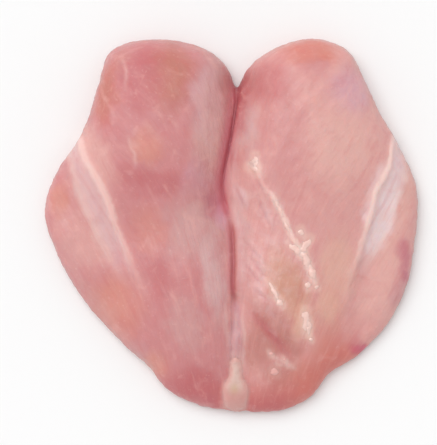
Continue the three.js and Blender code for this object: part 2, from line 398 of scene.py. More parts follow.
@dataclass(frozen=True)
class MoistMeat:
    """Raw muscle under a moist film: tinted, streaked along its grain, with silver skin and fascia."""

    roughness: float = 0.46
    wet_roughness: float = 0.36
    uneven: float = 0.12  # by which the roughness goes up and down
    bleed: float = 0.35  # share of the light that spreads inside
    bleed_mm: float = 3.2  # how far its red part spreads
    film: float = 0.30
    film_roughness: float = 0.22

    def material(self) -> bpy.types.Material:
        """Builds the material."""
        s = Shader("moist_meat")
        place = s.place()
        fibre = s.attribute("fibre", "Vector")
        wet = s.attribute("wet")
        skin = self._muscle(s, place, fibre)
        skin = self._fascia(s, skin, place)
        skin = self._cleft(s, skin)
        skin = self._membrane(s, skin, place, wet)
        rough = s.step(s.noise(place, 0.5), 0.3, 0.7, self.uneven)
        rough = s.sum("ADD", rough, self.roughness - self.uneven / 2)
        drop = s.sum("MULTIPLY", wet, self.wet_roughness - self.roughness)
        return s.finish(
            {
                "Base Color": skin,
                "Roughness": s.sum("ADD", rough, drop),
                "IOR": 1.38,
                "Normal": self._relief(s, place, fibre, wet),
                "Subsurface Weight": self.bleed,
                "Subsurface Radius": (1.0, 0.38, 0.26),
                "Subsurface Scale": self.bleed_mm * MM,
                "Coat Weight": self.film,
                "Coat Roughness": self.film_roughness,
                "Coat IOR": 1.34,
            }
        )

    def _muscle(self, s: Shader, place: Socket, fibre: Socket) -> Socket:
        """The tint of the meat, mottled and streaked along its grain.

        Args:
            s: the material's tree.
            place: where a point is, in mm.
            fibre: the same across, along and above the grain.

        Returns:
            The skin's colour.
        """
        mottle = s.noise(place, 0.13, 4.0, 0.6)
        broad = s.noise(s.scaled(fibre, (0.26, 0.03, 0.2)), 1.0, 3.0, 0.3)
        fine = s.noise(s.scaled(fibre, (1.1, 0.08, 0.9)), 1.0, 2.0, 0.3)
        speck = s.noise(place, 0.7, 3.0, 0.4)
        return s.layers(
            s.attribute("tint", "Color"),
            (mottle, 0.50, 0.78, 0.18, Tone.RED),
            (mottle, 0.46, 0.26, 0.26, Tone.PALE),
            (broad, 0.52, 0.74, 0.20, Tone.PALE),
            (broad, 0.46, 0.28, 0.18, Tone.RED),
            (fine, 0.52, 0.76, 0.06, Tone.PEACH),
            (fine, 0.46, 0.26, 0.10, Tone.RED),
            (speck, 0.60, 0.78, 0.14, Tone.CREAM),
        )

    def _fascia(self, s: Shader, skin: Socket, place: Socket) -> Socket:
        """The white cords along the fillets' edges, soft under the film.

        Args:
            s: the material's tree.
            skin: the colour below.
            place: where a point is, in mm.

        Returns:
            The skin's colour with the cords.
        """
        cord = s.frayed(s.attribute("fascia"), s.noise(place, 0.22), 1.2)
        strength = s.attribute("fascia_strength")
        return s.bands(skin, strength, (cord, 0.9, 3.0, 0.45, Tone.PALE), (cord, 0.35, 1.5, 0.85, Tone.CREAM))

    def _cleft(self, s: Shader, skin: Socket) -> Socket:
        """The cleft, darkened at its foot with blood and painted shade, and with a painted shade on its left
        slope, which faces away from the light.

        Args:
            s: the material's tree.
            skin: the colour below.

        Returns:
            The skin's colour with the cleft.
        """
        gap = s.attribute("cleft")
        # the band on the left slope is painted shade; the bands at the foot are blood and painted shade
        slope = s.sum("ADD", gap, 2.0)
        return s.bands(
            skin,
            s.attribute("cleft_strength"),
            (slope, 0.6, 3.4, 0.42, Tone.BRUISE),
            (gap, 0.6, 2.6, 0.34, Tone.RED),
            (gap, 0.2, 1.8, 0.62, Tone.BLOOD_AND_SHADE),
        )

    def _membrane(self, s: Shader, skin: Socket, place: Socket, wet: Socket) -> Socket:
        """The film over the right fillet's fold, with its pale edge, partly fat and partly a painted
        highlight along the fold's ridge.

        Args:
            s: the material's tree.
            skin: the colour below.
            place: where a point is, in mm.
            wet: how thick the film is, from 0 to 1.

        Returns:
            The skin's colour with the film.
        """
        web = s.noise(place, 0.16, 3.0, 0.7)
        veil = s.sum("MULTIPLY", s.step(web, 0.40, 0.70, 0.16), wet)
        skin = s.mix(veil, skin, Tone.SILVER.linear)
        # the fold's pale edge: fat, and a painted highlight along its ridge
        edge = s.frayed(s.attribute("fold"), s.noise(place, 0.3), 3.4)
        return s.bands(skin, s.attribute("fold_strength"), (edge, 0.3, 1.6, 0.55, Tone.CREAM))

    def _relief(self, s: Shader, place: Socket, fibre: Socket, wet: Socket) -> Socket:
        """Fine relief: bundles and fibres of the muscle, and the film's own ripples.

        Args:
            s: the material's tree.
            place: where a point is, in mm.
            fibre: the same across, along and above the grain.
            wet: how thick the film is, from 0 to 1.

        Returns:
            The bumped normal.
        """
        bundles = s.noise(s.scaled(fibre, (0.45, 0.04, 0.4)), 1.0, 3.0, 0.3)
        fibres = s.noise(s.scaled(fibre, (2.4, 0.2, 2.0)), 1.0, 2.0, 0.2)
        swell = s.sum("ADD", s.sum("MULTIPLY", wet, 0.12), 0.28)
        ripples = s.sum("MULTIPLY", s.noise(place, 0.34, 3.0, 0.6), swell)
        pores = s.noise(place, 2.0, 2.0)
        return s.bumps((bundles, 0.3), (fibres, 0.06), (ripples, 0.7), (pores, 0.02))


@dataclass(frozen=True)
class Gristle:
    """Moist cartilage: cream in its middle and pink towards its edge, where it thins out."""

    roughness: float = 0.36
    film: float = 0.35

    def material(self) -> bpy.types.Material:
        """Builds the material."""
        s = Shader("gristle")
        place = s.place()
        edge = s.frayed(s.attribute("edge"), s.noise(place, 0.32, 4.0, 0.5), 0.7)
        tint = s.layers(
            Tone.CARTILAGE.linear,
            (edge, 0.1, 0.8, 1.0, Tone.CARTILAGE_RIM),
            (s.attribute("marrow"), 0.0, 1.0, 0.75, Tone.MARROW),
            (s.attribute("low"), 0.0, 1.0, 0.8, Tone.CARTILAGE_FOOT),
            (edge, 0.4, 1.1, 1.0, Tone.GRISTLE),
            (s.attribute("tip"), 0.0, 1.0, 0.7, Tone.GRISTLE),
        )
        return s.finish(
            {
                "Base Color": tint,
                "Roughness": self.roughness,
                "IOR": 1.4,
                "Normal": s.bumps((s.noise(place, 0.4, 3.0, 0.5), 0.4)),
                "Subsurface Weight": 0.4,
                "Subsurface Radius": (1.0, 0.8, 0.7),
                "Subsurface Scale": 1.5 * MM,
                "Coat Weight": self.film,
                "Coat Roughness": 0.2,
            }
        )


@dataclass(frozen=True)
class WetFat:
    """Soft fat under a wet film, pale on its crown and pinker where it thins out into the meat."""

    name: str
    crown: Tone
    rim: Tone
    roughness: float = 0.34
    film: float = 0.5

    def material(self) -> bpy.types.Material:
        """Builds the material."""
        s = Shader(self.name)
        place = s.place()
        out = s.frayed(s.attribute("out"), s.noise(place, 0.7, 3.0, 0.4), 0.8)
        return s.finish(
            {
                "Base Color": s.layers(self.crown.linear, (out, 0.55, 1.15, 1.0, self.rim)),
                "Roughness": self.roughness,
                "IOR": 1.4,
                "Normal": s.bumps((s.noise(place, 0.9, 2.0), 0.2)),
                "Subsurface Weight": 0.3,
                "Subsurface Radius": (1.0, 0.9, 0.85),
                "Subsurface Scale": 0.6 * MM,
                "Coat Weight": self.film,
                "Coat Roughness": 0.15,
            }
        )


# ---- meshes -------------------------------------------------------------------------------------


def placed(name: str, data: bpy.types.ID) -> bpy.types.Object:
    """Puts a new object in the scene.

    Args:
        name: the object's name.
        data: its mesh, camera or lamp.

    Returns:
        The object.
    """
    made = bpy.data.objects.new(name, data)
    bpy.context.scene.collection.objects.link(made)
    return made


def as_mesh(bm: bmesh.types.BMesh, name: str) -> bpy.types.Mesh:
    """Turns a bmesh into a smooth-shaded mesh.

    Args:
        bm: the bmesh, which is freed.
        name: the mesh's name.

    Returns:
        The mesh.
    """
    mesh = bpy.data.meshes.new(name)
    bm.to_mesh(mesh)
    bm.free()
    mesh.shade_smooth()
    return mesh


def merged_copy(node: str, grow: float = 0.0) -> bmesh.types.BMesh:
    """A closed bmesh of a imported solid.

    Args:
        node: the solid's name.
        grow: metres that every point moves out along its normal.

    Returns:
        The bmesh, which the caller frees.
    """
    bm = bmesh.new()
    bm.from_mesh(bpy.data.objects[node].data)
    bmesh.ops.remove_doubles(bm, verts=bm.verts, dist=1e-6)
    bmesh.ops.recalc_face_normals(bm, faces=bm.faces)
    bm.normal_update()
    for vert in bm.verts:
        vert.co += vert.normal * grow
    return bm


def fine_skin(name: str, solids: Sequence[bmesh.types.BMesh], cell: float, rounds: int) -> bpy.types.Object:
    """One even, closed skin round solids that touch or overlap.

    Args:
        name: name of the new object.
        solids: closed bmeshes, which are freed.
        cell: spacing of the skin's points, in metres.
        rounds: how often the points are drawn towards their neighbours.

    Returns:
        The new object, with a smooth-shaded mesh.
    """
    rough = bpy.data.meshes.new(name + "_rough")
    whole = bmesh.new()
    for bm in solids:
        bm.to_mesh(rough)
        whole.from_mesh(rough)
        bm.free()
    whole.to_mesh(rough)
    whole.free()
    piece = placed(name, rough)
    remesh = piece.modifiers.new("skin", "REMESH")
    remesh.mode = "VOXEL"
    remesh.voxel_size = cell
    evaluated = piece.evaluated_get(bpy.context.evaluated_depsgraph_get())
    skin = bpy.data.meshes.new_from_object(evaluated)
    piece.modifiers.clear()
    piece.data = skin
    skin.name = name
    bpy.data.meshes.remove(rough)
    skin.shade_smooth()
    smooth_points(skin, np.full(len(skin.vertices), True), rounds)
    return piece


def points_of(mesh: bpy.types.Mesh) -> tuple[np.ndarray, np.ndarray]:
    """Reads a mesh's points.

    Args:
        mesh: the mesh.

    Returns:
        Its points in mm and their unit normals, one row to a point.
    """
    points = np.empty(len(mesh.vertices) * 3)
    mesh.vertices.foreach_get("co", points)
    normals = np.empty(len(mesh.vertices) * 3)
    mesh.vertex_normals.foreach_get("vector", normals)
    return points.reshape(-1, 3) / MM, normals.reshape(-1, 3)


def move_points(mesh: bpy.types.Mesh, points: np.ndarray) -> None:
    """Moves a mesh's points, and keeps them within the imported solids' box.

    Args:
        mesh: the mesh.
        points: where they go, in mm, one row to a point.
    """
    low, high = (np.array(corner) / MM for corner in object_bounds())
    mesh.vertices.foreach_set("co", (np.clip(points, low, high) * MM).ravel())
    mesh.update()


def smooth_points(mesh: bpy.types.Mesh, chosen: np.ndarray, rounds: int) -> None:
    """Draws points of a mesh towards their neighbours.

    Args:
        mesh: the mesh.
        chosen: for each point, whether it is moved.
        rounds: how often.
    """
    bm = bmesh.new()
    bm.from_mesh(mesh)
    verts = [vert for vert, picked in zip(bm.verts, chosen) if picked]
    axes = {"use_axis_x": True, "use_axis_y": True, "use_axis_z": True}
    for _ in range(rounds):
        bmesh.ops.smooth_vert(bm, verts=verts, factor=0.5, **axes)
    bm.to_mesh(mesh)
    bm.free()


def carry(mesh: bpy.types.Mesh, name: str, values: np.ndarray) -> None:
    """Stores values on a mesh's points.

    Args:
        mesh: the mesh.
        name: name of the stored attribute.
        values: a number, three numbers or a colour to each point.
    """
    kinds = {1: ("FLOAT", "value"), 3: ("FLOAT_VECTOR", "vector"), 4: ("FLOAT_COLOR", "color")}
    kind, key = kinds[1 if values.ndim == 1 else values.shape[1]]
    mesh.attributes.new(name, kind, "POINT").data.foreach_set(key, values.astype(np.float32).ravel())


# ---- strands, patches and streaks ---------------------------------------------------------------


@dataclass(frozen=True)
class Strand:
    """A soft strand or scrap that lies on the meat: route in percent, width and height in mm."""

    route: Places
    width: float
    height: float


# Fat along the edge of the right fillet's fold, and the scraps of it lower down. Their pale crowns are partly
# the fat's own colour and partly a painted highlight, for the glints on the wet fold.
FOLD_FAT_AND_GLINTS = (
    Strand(((12.3, 37), (11.7, 32.8), (13.2, 27.8)), 3.8, 0.4),
    Strand(((9.4, 31), (11.6, 32.2), (13, 31.2)), 4.4, 0.4),
    Strand(((21.6, 15.4), (24.6, 9.6), (27.3, 4)), 1.9, 0.35),
    Strand(((27.8, 2.8), (30.2, -3.6)), 1.7, 0.3),
    Strand(((35.9, -1.6), (36.5, -5.2)), 3.6, 0.45),
    Strand(((30.8, -8.6), (34.1, -11.6), (37.4, -14.8)), 4.0, 0.5),
    Strand(((41, -6.2), (38.8, -10.2), (36, -13.8)), 3.6, 0.5),
    Strand(((36, -12.6), (38.9, -17.2), (40.8, -22)), 3.8, 0.6),
    Strand(((40.2, -20), (41.9, -24.4), (43.2, -28)), 3.2, 0.5),
    Strand(((39.6, -29.3), (40, -32.6)), 3.0, 0.3),
    Strand(((44.4, -31), (45.3, -33)), 2.4, 0.4),
    Strand(((19, -28.5), (22, -33.4), (25.3, -39.4)), 2.0, 0.3),
    Strand(((24.6, -38), (26.7, -41.8)), 3.0, 0.4),
    Strand(((39.4, -44.4), (38.8, -49), (39.8, -55.5)), 4.4, 0.4),
    Strand(((40.3, -49), (41, -53), (40.2, -57.4)), 2.6, 0.7),
    Strand(((41.9, -58.6), (42.6, -60.6)), 2.0, 0.35),
)

# Pinker scraps of membrane.
MEMBRANE = (
    Strand(((20.3, -66.4), (21, -68.4)), 2.2, 0.3),
    Strand(((29.6, -72.4), (31, -74.6)), 2.0, 0.3),
    Strand(((27.4, -69.6), (28.6, -71)), 1.6, 0.25),
    Strand(((22.5, -74.6), (23, -77), (23.6, -78.8)), 3.2, 0.45),
)


@dataclass(frozen=True)
class Patch:
    """A soft-edged area of one tone: middle and radii in percent, turn in degrees clockwise."""

    at: tuple[float, float]
    radii: tuple[float, float]
    turn: float
    tone: Tone
    strength: float = 0.8

    def share(self, places: np.ndarray) -> np.ndarray:
        """How much of the tone places take.

        Args:
            places: one row of x and y in percent to a place.

        Returns:
            A share to each place.
        """
        turn = math.radians(self.turn)
        offset = places - self.at
        across = (offset[:, 0] * math.cos(turn) - offset[:, 1] * math.sin(turn)) / self.radii[0]
        length = (offset[:, 0] * math.sin(turn) + offset[:, 1] * math.cos(turn)) / self.radii[1]
        return self.strength * smooth(1.35, 0.35, np.hypot(across, length))


# What tints the muscle, each under the ones that follow.
PATCHES = (
    # left fillet
    Patch((-33, 78), (13, 19), 6, Tone.RUST, 1.0),  # browner middle of the shoulder
    Patch((-46, 76), (12, 21), 4, Tone.RED, 0.7),
    Patch((-13, 60), (9, 32), 4, Tone.ASHEN),  # grey slope towards the cleft
    Patch((-12, 64), (7, 22), 4, Tone.LILAC, 0.4),
    # painted light: lifts the slope beside the cleft, which faces away from the light
    Patch((-11, 56), (7, 30), 4, Tone.PALE, 0.4),
    Patch((-44, 42), (10, 9), 0, Tone.SALMON),
    Patch((-43, 24), (24, 8), 4, Tone.RED, 0.5),  # rosy band across
    Patch((-20, 24), (9, 10), 0, Tone.LILAC, 0.35),
    Patch((-20, 18), (5, 7), -20, Tone.ROSE, 0.4),
    Patch((-20, -2), (19, 19), -10, Tone.ASHEN),  # paler grey area: a painted sheen
    Patch((-10, 10), (6, 9), -30, Tone.BRUISE, 0.55),  # beside the cleft's bend
    Patch((-6.5, 3), (4, 6), -20, Tone.LILAC, 0.6),
    Patch((-43, 0), (9, 14), -20, Tone.SALMON, 0.5),
    Patch((-37, -27), (6, 13), -14, Tone.RED, 0.4),
    # paler grey and silver beside the low slit: a painted sheen
    Patch((-9, -28), (6, 26), -4, Tone.ASHEN, 0.8),
    Patch((-9, -26), (6, 22), -4, Tone.SILVER, 0.25),
    Patch((-24, -52), (10, 16), -14, Tone.ASHEN, 0.6),
    Patch((-40, -74), (8, 9), -30, Tone.SALMON, 0.8),
    Patch((-17, -84), (15, 9), 14, Tone.RED, 0.75),
    Patch((-9, -94), (7, 4), 0, Tone.BRUISE, 0.5),
    Patch((-60, 86), (6, 8), 10, Tone.RUST, 0.35),
    Patch((-66, 69), (6, 16), 12, Tone.EMBER, 0.7),
    Patch((-66, 69), (6, 14), 12, Tone.RUST, 0.75),
    Patch((-72, 38), (8, 20), -28, Tone.PALE, 0.6),
    Patch((-75, -12), (9, 14), -24, Tone.PALE, 0.5),
    # left flap
    Patch((-82, 2), (16, 26), -12, Tone.PINK, 0.8),
    Patch((-91, 14), (5, 8), 0, Tone.SALMON, 0.8),
    Patch((-62, -42), (16, 17), -34, Tone.SALMON, 0.8),
    Patch((-56, -56), (10, 9), -34, Tone.EMBER, 0.22),
    # right fillet
    Patch((28, 45), (15, 30), 0, Tone.ROSE, 0.55),
    Patch((42, 92), (16, 8), 0, Tone.SALMON, 0.9),
    Patch((40, 92), (15, 8), 0, Tone.EMBER, 0.45),
    Patch((20, 76), (12, 13), -20, Tone.RED, 0.6),
    Patch((44, 84), (8, 6), 0, Tone.ROSE, 0.6),
    Patch((62, 70), (12, 13), -10, Tone.LILAC, 0.7),
    Patch((58, 42), (20, 24), -10, Tone.PALE, 0.8),
    Patch((10, 50), (6, 14), 0, Tone.ASHEN, 0.6),
    Patch((9.5, 54), (5.5, 12), 0, Tone.SILVER, 0.35),
    Patch((13, 8), (13, 20), -20, Tone.PINK, 0.7),
    Patch((5, 8), (4, 16), -10, Tone.SILVER, 0.25),  # film along the right lip
    Patch((6, -12), (5, 24), 0, Tone.ASHEN, 0.5),
    Patch((31, -34), (10, 22), -20, Tone.SAND, 0.85),
    Patch((31, -32), (9, 19), -20, Tone.CLAY, 0.3),
    Patch((55, -22), (11, 20), 8, Tone.PEACH, 0.5),
    Patch((51, -50), (8, 21), 12, Tone.SALMON, 0.6),
    Patch((51, -44), (7, 10), 12, Tone.PEACH, 0.5),
    Patch((20, -50), (8, 14), -35, Tone.CLAY, 0.6),
    Patch((16, -62), (17, 15), -30, Tone.CLAY, 0.75),
    Patch((30, -62), (9, 10), -30, Tone.CLAY, 0.7),
    Patch((30, -80), (16, 9), -10, Tone.CLAY, 0.6),
    Patch((36.5, -50), (5, 10), 0, Tone.PEACH, 0.6),  # soft fat under the fold's low end
    Patch((42, -78), (12, 10), 40, Tone.SALMON, 0.6),
    Patch((50, -68), (8, 7), 40, Tone.SALMON, 0.4),
    Patch((2.5, -60), (4, 12), 0, Tone.LILAC, 0.3),  # thin tissue above the tab
    Patch((2.8, -52), (4, 9), 0, Tone.MAUVE, 0.3),
    Patch((2.5, -69), (3.4, 6), 0, Tone.HALO, 0.5),
    # right flap
    Patch((84, 2), (12, 36), 8, Tone.PALE, 0.8),
    Patch((94, 14), (4, 15), 0, Tone.SALMON, 0.2),
    # the right flap's silver skin, pale partly from its own colour and partly as a painted sheen; the
    # lightest tone adds painted light where the flap slopes away from the light
    Patch((80, 11), (9, 22), 12, Tone.SILVER, 0.9),
    Patch((93, 12), (5, 18), 0, Tone.PALE, 0.5),
    Patch((79, 7), (8, 20), 12, Tone.SILVER_WITH_PAINTED_LIGHT, 0.85),
    Patch((88.4, 42), (2.6, 4.5), 0, Tone.SLATE, 0.7),
    Patch((88.6, 34), (3, 6), 0, Tone.LILAC, 0.7),
    Patch((78, -38), (12, 15), 30, Tone.PALE, 0.6),
    Patch((92, -19), (3, 15), 3, Tone.BRUISE, 0.3),
    Patch((89.5, -33), (4, 12), 18, Tone.MAUVE, 0.35),
    Patch((67, -64), (8, 4.5), 55, Tone.BRUISE, 0.8),
    Patch((68, -65), (4.5, 3), 45, Tone.MAGENTA, 0.8),
)


@dataclass(frozen=True)
class Streak:
    """A soft-edged line of one tone: route in percent, half width in mm."""

    route: Places
    reach: float
    tone: Tone
    strength: float


# Along the edges, the cleft's slopes and the keel, each over the ones before.
STREAKS = (
    Streak(((3, -95), (18, -96), (32, -92), (43, -84), (51, -75), (58, -69)), 10.0, Tone.EMBER, 0.9),
    Streak(((4, -95), (14, -96), (24, -95)), 8.0, Tone.RED, 0.7),
    Streak(((92.2, -9), (92.8, -14), (92.8, -20), (92, -27)), 2.1, Tone.BRUISE, 0.55),
    Streak(((-32, -86), (-18, -93), (-5, -96)), 7.0, Tone.RED, 0.5),
    Streak(((5.4, 82), (6, 72), (5.2, 62), (3.2, 52)), 4.4, Tone.RED, 0.8),
    # painted shade: a deeper red on the right lip where it faces the light
    Streak(((4.8, 82), (5.8, 72), (5.4, 65)), 4.0, Tone.GARNET, 0.35),
    Streak(((2.6, -42), (2.5, -52), (2.4, -70)), 2.6, Tone.MAUVE, 0.5),
    Streak(((2.2, -56), (2.4, -70)), 3.4, Tone.ASHEN, 0.5),
    Streak(((-88, -12), (-78, -33), (-64, -53), (-48, -71)), 5.0, Tone.ASHEN, 0.4),
)


# ---- the meat -----------------------------------------------------------------------------------


@dataclass(frozen=True)
class Spoon:
    """The tab's shape from above: its axis in percent, and down it how wide it is."""

    axis: tuple[tuple[float, float], tuple[float, float]] = ((2.5, -66), (2.1, -99))
    down: tuple[float, ...] = (66, 70, 76, 79, 80.5, 82, 84.5, 88, 92, 96, 99)  # percent below the middle
    reach: tuple[float, ...] = (2.8, 3.1, 3.2, 3.4, 4.0, 5.0, 6.0, 6.3, 6.0, 5.4, 5.0)  # half width in mm
    start: float = 73.5  # percent below the middle, above which it ends in a point
    taper: float = 4.5  # percent over which it does

    def off(self, points: np.ndarray, half_width: float) -> tuple[np.ndarray, np.ndarray]:
        """How places lie to the tab's axis.

        Args:
            points: the places in mm, one row to a place.
            half_width: the breast's, in mm.

        Returns:
            How far each is to the right of the axis in mm, and how far down in percent.
        """
        down = -points[:, 1] / half_width * 100
        (x0, y0), (x1, y1) = self.axis
        return points[:, 0] - np.interp(down, (-y0, -y1), (x0, x1)) * half_width / 100, down

    def edge(self, points: np.ndarray, half_width: float) -> np.ndarray:
        """How places lie to the tab.

        Args:
            points: the places in mm, one row to a place.
            half_width: the breast's, in mm.

        Returns:
            A number to each, from 0 on the tab's axis to 1 at its edge and more beyond.
        """
        off, down = self.off(points, half_width)
        past = (np.maximum(0, self.start - down) / self.taper) ** 3
        return np.abs(off) / np.interp(down, self.down, self.reach) + past


@dataclass(frozen=True)
class Fascia:
    """A white cord along a fillet's edge and the silver skin outside it."""

    line: Places
    height: float  # how far the cord stands up, in mm
    reach: float  # width of the silver skin, in mm
    silver: float  # strength of its sheen
    width: float  # of the cord, in mm from its middle to where it has half faded
    white: float  # how white the cord is, from 0 to 1

    def near(self, plan: Plan, points: np.ndarray) -> Near:
        """How places lie to the cord.

        Args:
            plan: the breast's plan.
            points: the places in mm, one row to a place.

        Returns:
            Where each is across the cord, positive towards the flap, and along it.
        """
        cord = plan.near(self.line, points)
        outward = 1 if self.line[0][0] > 0 else -1
        return Near(cord.across * outward, cord.along)

    def relief(self, cord: Near) -> np.ndarray:
        """How far the skin rises over the cord and dips outside it, in mm."""
        rise = ridges(cord.across, (self.height, 0.0, 1.5), (-0.35, 3.4, 1.8))
        return smooth(1.0, 0.6, cord.along) * rise

    def paint(self, tint: Tint, cord: Near, top: np.ndarray) -> None:
        """Lays the silver skin, with its pale far edge.

        Args:
            tint: the skin's tint, changed in place.
            cord: how its points lie to the cord.
            top: how far each point faces up, from 0 to 1.
        """
        width = self.reach * smooth(-0.25, 0.35, cord.along) * (1 - 0.4 * smooth(0.5, 0.9, cord.along))
        band = smooth(-0.5, 1.5, cord.across) * smooth(width + 2.5, width - 3.5, cord.across)
        seen = smooth(0.85, 0.5, cord.along) * smooth(0.0, 0.04, cord.along) * top
        tint.lay(self.silver * band * seen, Tone.SILVER)
        tint.lay(0.45 * (1.3 - self.silver) * bell(cord.across - width, 2.0) * seen, Tone.CREAM)

    def shown(self, cord: Near) -> tuple[np.ndarray, np.ndarray]:
        """How places lie to the cord, in its own widths, and how strongly it shows there."""
        seen = smooth(0.95, 0.4, cord.along) * smooth(0.0, 0.06, cord.along)
        return cord.across / self.width, self.white * seen


@dataclass(frozen=True)
class Cleft:
    """The slit between the fillets. It runs down from the notch, with its right at a positive across."""

    route: Places = (
        (4, 92), (3.3, 76), (2.2, 63), (-0.15, 48), (-2.5, 36), (-4.3, 26), (-4.4, 16.5),
        (-2.6, 9), (-0.2, 0.5), (0.7, -8), (0.95, -20), (0.8, -32), (2.4, -43.5),
    )
    pull: Pair = (0.75, 0.6)  # share of the way that each side is drawn in over the slit
    reach: Pair = (6.5, 6.0)  # mm of each side that is drawn in
    lips: Pair = (3.2, 2.2)  # mm that each side's lip stands up
    lip_width: float = 5.0  # mm from the slit to where a lip has faded
    right_drop: float = 1.5  # mm by which the right lip is lower along the slit's low end
    crowns: tuple[float, float] = (-3.4, 4.3)  # mm across, where the left and the right lip are highest
    depth: float = 1.6  # mm from the lips down to the slit's foot
    notch_depth: float = 0.9  # mm more of it near the notch
    width: float = 1.8  # mm from the slit's middle to its sides
    held_at: float = 0.62  # share of the way down where the sides all but touch

    def close(self, plan: Plan, points: np.ndarray, top: np.ndarray) -> np.ndarray:
        """Draws the two lips together until a slit is left.

        Args:
            plan: the breast's plan.
            points: the skin's points in mm, moved in place.
            top: how far each point faces up, from 0 to 1.

        Returns:
            How far each point then moves out along its normal, in mm.
        """
        gap = plan.near(self.route, points)
        pull = np.where(gap.across > 0, *self.pull)
        pull *= smooth(1.0, 0.9, gap.along) * (0.25 + 0.75 * smooth(0.07, 0.15, gap.along))
        points[:, 0] -= pull * gap.across * bell(gap.across, np.where(gap.across > 0, *self.reach))
        gap = plan.near(self.route, points)
        far = np.abs(gap.across)
        full = smooth(1.0, 0.86, gap.along) * smooth(0.06, 0.16, gap.along) * top
        right = self.lips[0] - self.right_drop * smooth(0.52, 0.64, gap.along)
        lips = np.where(gap.across > 0, right, self.lips[1])
        return full * lips * bell(far, self.lip_width) * smooth(0.5, 2.6, far)

    def fill(self, plan: Plan, points: np.ndarray, top: np.ndarray) -> None:
        """Gives the slit between the lips a shallow foot, sharp near the notch and rounded lower down.

        Args:
            plan: the breast's plan.
            points: the skin's points in mm, moved in place.
            top: how far each point faces up, from 0 to 1.
        """
        gap = plan.near(self.route, points)
        shares = np.linspace(0.05, 0.97, 28)
        lips = []
        for crown in self.crowns:
            beside = (np.abs(gap.across - crown) < 0.7) & (top > 0.3)
            heights = [points[beside & (np.abs(gap.along - share) < 0.025), 2].mean() for share in shares]
            lips.append(np.interp(gap.along, shares, heights))
        level = lips[0] + (lips[1] - lips[0]) * smooth(*self.crowns, gap.across)
        depth = self.depth + self.notch_depth * smooth(0.5, 0.38, gap.along)
        depth *= 1 - 0.65 * bell(gap.along - self.held_at, 0.06)
        width = self.width - 0.35 * smooth(0.36, 0.26, gap.along) - 0.4 * smooth(0.6, 0.7, gap.along)
        rounded = bell(gap.across, width)
        sharp = 1.1 * np.exp(-np.abs(gap.across) / 1.4)
        foot = level - depth * (rounded + (sharp - rounded) * smooth(0.46, 0.34, gap.along))
        share = smooth(-3.8, -2.2, gap.across) * smooth(4.8, 3.2, gap.across) * (top > 0)
        share *= smooth(1.0, 0.93, gap.along) * smooth(0.07, 0.13, gap.along)
        points[:, 2] += share * (foot - points[:, 2])

    def soften(self, plan: Plan, mesh: bpy.types.Mesh, points: np.ndarray, flat: np.ndarray) -> None:
        """Evens the slit and its lips out, and the sharp foot near the notch less than the rest.

        Args:
            plan: the breast's plan.
            mesh: the skin.
            points: its points in mm.
            flat: which of them are on the underside.
        """
        gap = plan.near(self.route, points)
        near = (np.abs(gap.across) < 5) & (points[:, 2] > 4) & ~flat
        smooth_points(mesh, near, 5)
        smooth_points(mesh, near & ((gap.along > 0.4) | (np.abs(gap.across) > 1.5)), 3)

    def paint(self, tint: Tint, gap: Near) -> None:
        """Lays the flush of the slopes, and at the slit's foot the blood and a painted shade.

        Args:
            tint: the skin's tint, changed in place.
            gap: how its points lie to the slit.
        """
        shut, low, whole = self._shut(gap), self._low(gap), smooth(1.0, 0.93, gap.along)
        tint.lay(0.3 * smooth(0.62, 0.45, gap.along) * bell(gap.across, 3.4), Tone.RED)
        tint.lay(0.35 * low * smooth(1.0, 0.9, gap.along) * bell(gap.across - 1.5, 4.5), Tone.ROSE)
        tint.lay(0.55 * shut * whole * (1 - 0.5 * low) * bell(gap.across, 2.0), Tone.BLOOD_AND_SHADE)
        tint.lay(0.6 * low * whole * bell(gap.across, 1.4), Tone.RUST)
        # painted shade: dark red near the notch and a dark line down the slit's foot, which would otherwise
        # catch the light
        tint.lay(0.5 * smooth(0.34, 0.12, gap.along) * bell(gap.across, 2.6), Tone.GARNET)
        thin = (0.5 + 0.15 * smooth(0.56, 0.46, gap.along)) * shut
        tint.lay(thin * whole * bell(gap.across - 0.1, 0.8 + 0.2 * low), Tone.SLIT_SHADE)
        tint.lay(0.55 * smooth(0.18, 0.1, gap.along) * bell(gap.across - 0.2, 1.8), Tone.SLIT_SHADE)

    def store(self, mesh: bpy.types.Mesh, gap: Near) -> None:
        """Stores where the material's own bands along the slit lie, and how strongly they show.

        Args:
            mesh: the skin.
            gap: how its points lie to the slit.
        """
        low, end = self._low(gap), smooth(1.0, 0.9, gap.along)
        carry(mesh, "cleft", gap.across * (1 + 0.7 * low))
        strength = end * (0.4 + 0.35 * smooth(0.12, 0.3, gap.along))
        strength += 0.25 * smooth(0.45, 0.6, gap.along) * end
        strength *= self._shut(gap) * (1 - 0.25 * smooth(0.4, 0.9, gap.along)) * (1 - 0.3 * low)
        carry(mesh, "cleft_strength", strength)

    def _shut(self, gap: Near) -> np.ndarray:
        """How open the slit is, from 1 down to 0.3 where its sides all but touch."""
        return 1 - 0.7 * bell(gap.along - self.held_at - 0.02, 0.045)

    def _low(self, gap: Near) -> np.ndarray:
        """1 along the slit's low end, where it is narrower and browner."""
        return smooth(0.6, 0.72, gap.along)


